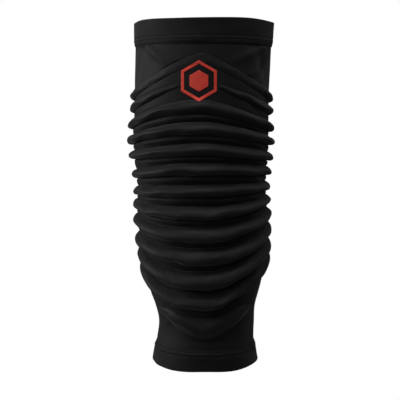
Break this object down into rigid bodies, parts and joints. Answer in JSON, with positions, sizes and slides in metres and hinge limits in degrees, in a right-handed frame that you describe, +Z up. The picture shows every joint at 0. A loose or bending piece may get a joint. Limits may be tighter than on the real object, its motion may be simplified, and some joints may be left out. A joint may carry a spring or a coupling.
{
  "type": "padded knee sleeve",
  "caption": "Black stretch knit knee sleeve for a goalkeeper, with padded ribs across the front, doubled cuffs and a plain red print",
  "frame": {"origin": "The middle of the knee, halfway up the sleeve and on the leg's axis, where the knee sits", "axes": "+Z up along the leg towards the thigh, the padded front faces -Y, +X is to the right for someone who looks at the front"},
  "size_m": [0.1466, 0.1596, 0.3481],
  "materials": {
    "sleeve_knit": "stretch knit of polyamide and elastane, soft sheen",
    "rib_knit": "the same knit drawn over foam rolls, soft sheen",
    "cuff_knit": "doubled knit, matt",
    "red_print": "thin heat transfer print, satin"
  },
  "bodies": {
    "root": {"sleeve_tube": "sleeve_knit", "top_cuff": "cuff_knit", "bottom_cuff": "cuff_knit", "rib_pad_01": "rib_knit", "rib_pad_02_left": "rib_knit", "rib_pad_02_right": "rib_knit", "rib_pad_03": "rib_knit", "rib_pad_04": "rib_knit", "rib_pad_05": "rib_knit", "rib_pad_06": "rib_knit", "rib_pad_07": "rib_knit", "rib_pad_08": "rib_knit", "rib_pad_09": "rib_knit", "rib_pad_10": "rib_knit", "rib_pad_11": "rib_knit", "rib_pad_12": "rib_knit", "rib_pad_13": "rib_knit", "emblem_line": "red_print", "emblem_core": "red_print"}
  },
  "joints": []
}
